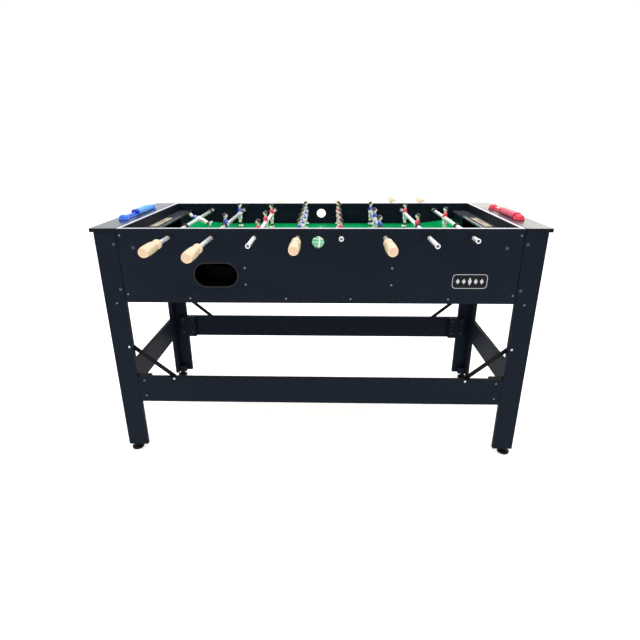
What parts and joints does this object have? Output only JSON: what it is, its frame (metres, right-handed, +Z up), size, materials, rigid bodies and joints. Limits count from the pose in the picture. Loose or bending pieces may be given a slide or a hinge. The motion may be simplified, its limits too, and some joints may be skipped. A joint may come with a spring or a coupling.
{
  "type": "foosball table",
  "caption": "Free-standing foosball table: black boarded cabinet on L-section legs, sliding and spinning player rods, wooden handles, goals, ball return and slide scorers.",
  "frame": {"origin": "on the floor, under the middle of the box that holds the table and its handles as stored", "axes": "+X along the length towards the red goal, +Y across towards the red team's handles, +Z up"},
  "size_m": [1.397, 1.251, 0.8263],
  "materials": {
    "board_laminate": "near-black blue-grey satin laminate on fibreboard",
    "goal_board": "dark laminate, pale printed ledge",
    "playfield_green": "green printed surface with white markings",
    "tray_plastic": "black moulded plastic",
    "rod_chrome": "polished chrome tube",
    "handle_wood": "pale turned wood, clear lacquer",
    "bumper_rubber": "black rubber",
    "foot_black": "black moulded levelling foot",
    "brace_steel": "black painted flat steel",
    "scorer_blue": "deep blue moulded plastic",
    "scorer_red": "deep red moulded plastic",
    "counter_blue": "light blue moulded plastic",
    "counter_red": "red moulded plastic"
  },
  "bodies": {
    "table": {"front_panel": "board_laminate", "back_panel": "board_laminate", "end_wall_left": "board_laminate", "end_wall_right": "board_laminate", "playfield": "playfield_green", "goal_box_left": "goal_board", "goal_box_right": "goal_board", "bottom_panel": "board_laminate", "ball_return_tray": "tray_plastic", "end_top_left": "board_laminate", "end_top_right": "board_laminate", "end_board_left": "board_laminate", "end_board_right": "board_laminate", "end_apron_left": "board_laminate", "end_apron_right": "board_laminate", "side_stretcher_left": "board_laminate", "side_stretcher_right": "board_laminate", "long_stretcher_front": "board_laminate", "long_stretcher_rear": "board_laminate", "leg_front_left": "board_laminate", "leg_rear_left": "board_laminate", "leg_front_right": "board_laminate", "leg_rear_right": "board_laminate", "brace_front_left": "brace_steel", "brace_front_right": "brace_steel", "brace_rear_left": "brace_steel", "brace_rear_right": "brace_steel", "scorer_left": "scorer_blue", "scorer_right": "scorer_red"},
    "slide_1": {"bumper_1": "bumper_rubber"},
    "rod_1": {"rod_1_blue_keeper": "rod_chrome", "handle_1": "handle_wood"},
    "slide_2": {"bumper_2": "bumper_rubber"},
    "rod_2": {"rod_2_blue_defence": "rod_chrome", "handle_2": "handle_wood"},
    "slide_3": {"bumper_3": "bumper_rubber"},
    "rod_3": {"rod_3_red_attack": "rod_chrome", "handle_3": "handle_wood"},
    "slide_4": {"bumper_4": "bumper_rubber"},
    "rod_4": {"rod_4_blue_midfield": "rod_chrome", "handle_4": "handle_wood"},
    "slide_5": {"bumper_5": "bumper_rubber"},
    "rod_5": {"rod_5_red_midfield": "rod_chrome", "handle_5": "handle_wood"},
    "slide_6": {"bumper_6": "bumper_rubber"},
    "rod_6": {"rod_6_blue_attack": "rod_chrome", "handle_6": "handle_wood"},
    "slide_7": {"bumper_7": "bumper_rubber"},
    "rod_7": {"rod_7_red_defence": "rod_chrome", "handle_7": "handle_wood"},
    "slide_8": {"bumper_8": "bumper_rubber"},
    "rod_8": {"rod_8_red_keeper": "rod_chrome", "handle_8": "handle_wood"},
    "counter_left": {"scorer_counter_left": "counter_blue"},
    "counter_right": {"scorer_counter_right": "counter_red"},
    "foot_front_left": {"foot_front_left": "foot_black"},
    "foot_rear_left": {"foot_rear_left": "foot_black"},
    "foot_front_right": {"foot_front_right": "foot_black"},
    "foot_rear_right": {"foot_rear_right": "foot_black"}
  },
  "joints": [
    {"name": "rod_1_slide", "type": "slide", "parent": "table", "child": "slide_1", "axis": [0, 1, 0], "range_m": [-0.163, 0.041]},
    {"name": "rod_1_spin", "type": "hinge", "parent": "slide_1", "child": "rod_1", "pos_m": [-0.458, 0.0085, 0.778], "axis": [0, 1, 0], "continuous": true},
    {"name": "rod_2_slide", "type": "slide", "parent": "table", "child": "slide_2", "axis": [0, 1, 0], "range_m": [-0.176, 0.06]},
    {"name": "rod_2_spin", "type": "hinge", "parent": "slide_2", "child": "rod_2", "pos_m": [-0.326, 0.0055, 0.778], "axis": [0, 1, 0], "continuous": true},
    {"name": "rod_3_slide", "type": "slide", "parent": "table", "child": "slide_3", "axis": [0, 1, 0], "range_m": [-0.051, 0.095]},
    {"name": "rod_3_spin", "type": "hinge", "parent": "slide_3", "child": "rod_3", "pos_m": [-0.194, -0.0745, 0.778], "axis": [0, 1, 0], "continuous": true},
    {"name": "rod_4_slide", "type": "slide", "parent": "table", "child": "slide_4", "axis": [0, 1, 0], "range_m": [-0.06, 0.004]},
    {"name": "rod_4_spin", "type": "hinge", "parent": "slide_4", "child": "rod_4", "pos_m": [-0.062, -0.0245, 0.778], "axis": [0, 1, 0], "continuous": true},
    {"name": "rod_5_slide", "type": "slide", "parent": "table", "child": "slide_5", "axis": [0, 1, 0], "range_m": [-0.06, 0.004]},
    {"name": "rod_5_spin", "type": "hinge", "parent": "slide_5", "child": "rod_5", "pos_m": [0.07, -0.0245, 0.778], "axis": [0, 1, 0], "continuous": true},
    {"name": "rod_6_slide", "type": "slide", "parent": "table", "child": "slide_6", "axis": [0, 1, 0], "range_m": [-0.129, 0.017]},
    {"name": "rod_6_spin", "type": "hinge", "parent": "slide_6", "child": "rod_6", "pos_m": [0.202, 0.0035, 0.778], "axis": [0, 1, 0], "continuous": true},
    {"name": "rod_7_slide", "type": "slide", "parent": "table", "child": "slide_7", "axis": [0, 1, 0], "range_m": [-0.165, 0.071]},
    {"name": "rod_7_spin", "type": "hinge", "parent": "slide_7", "child": "rod_7", "pos_m": [0.334, -0.0055, 0.778], "axis": [0, 1, 0], "continuous": true},
    {"name": "rod_8_slide", "type": "slide", "parent": "table", "child": "slide_8", "axis": [0, 1, 0], "range_m": [-0.177, 0.027]},
    {"name": "rod_8_spin", "type": "hinge", "parent": "slide_8", "child": "rod_8", "pos_m": [0.466, 0.0225, 0.778], "axis": [0, 1, 0], "continuous": true},
    {"name": "score_left", "type": "slide", "parent": "table", "child": "counter_left", "axis": [0, 1, 0], "range_m": [-0.081, 0.001]},
    {"name": "score_right", "type": "slide", "parent": "table", "child": "counter_right", "axis": [0, 1, 0], "range_m": [-0.001, 0.081]},
    {"name": "foot_front_left_height", "type": "slide", "parent": "table", "child": "foot_front_left", "axis": [0, 0, -1], "range_m": [-0.0045, 0.012]},
    {"name": "foot_rear_left_height", "type": "slide", "parent": "table", "child": "foot_rear_left", "axis": [0, 0, -1], "range_m": [-0.0045, 0.012]},
    {"name": "foot_front_right_height", "type": "slide", "parent": "table", "child": "foot_front_right", "axis": [0, 0, -1], "range_m": [-0.0045, 0.012]},
    {"name": "foot_rear_right_height", "type": "slide", "parent": "table", "child": "foot_rear_right", "axis": [0, 0, -1], "range_m": [-0.0045, 0.012]}
  ]
}
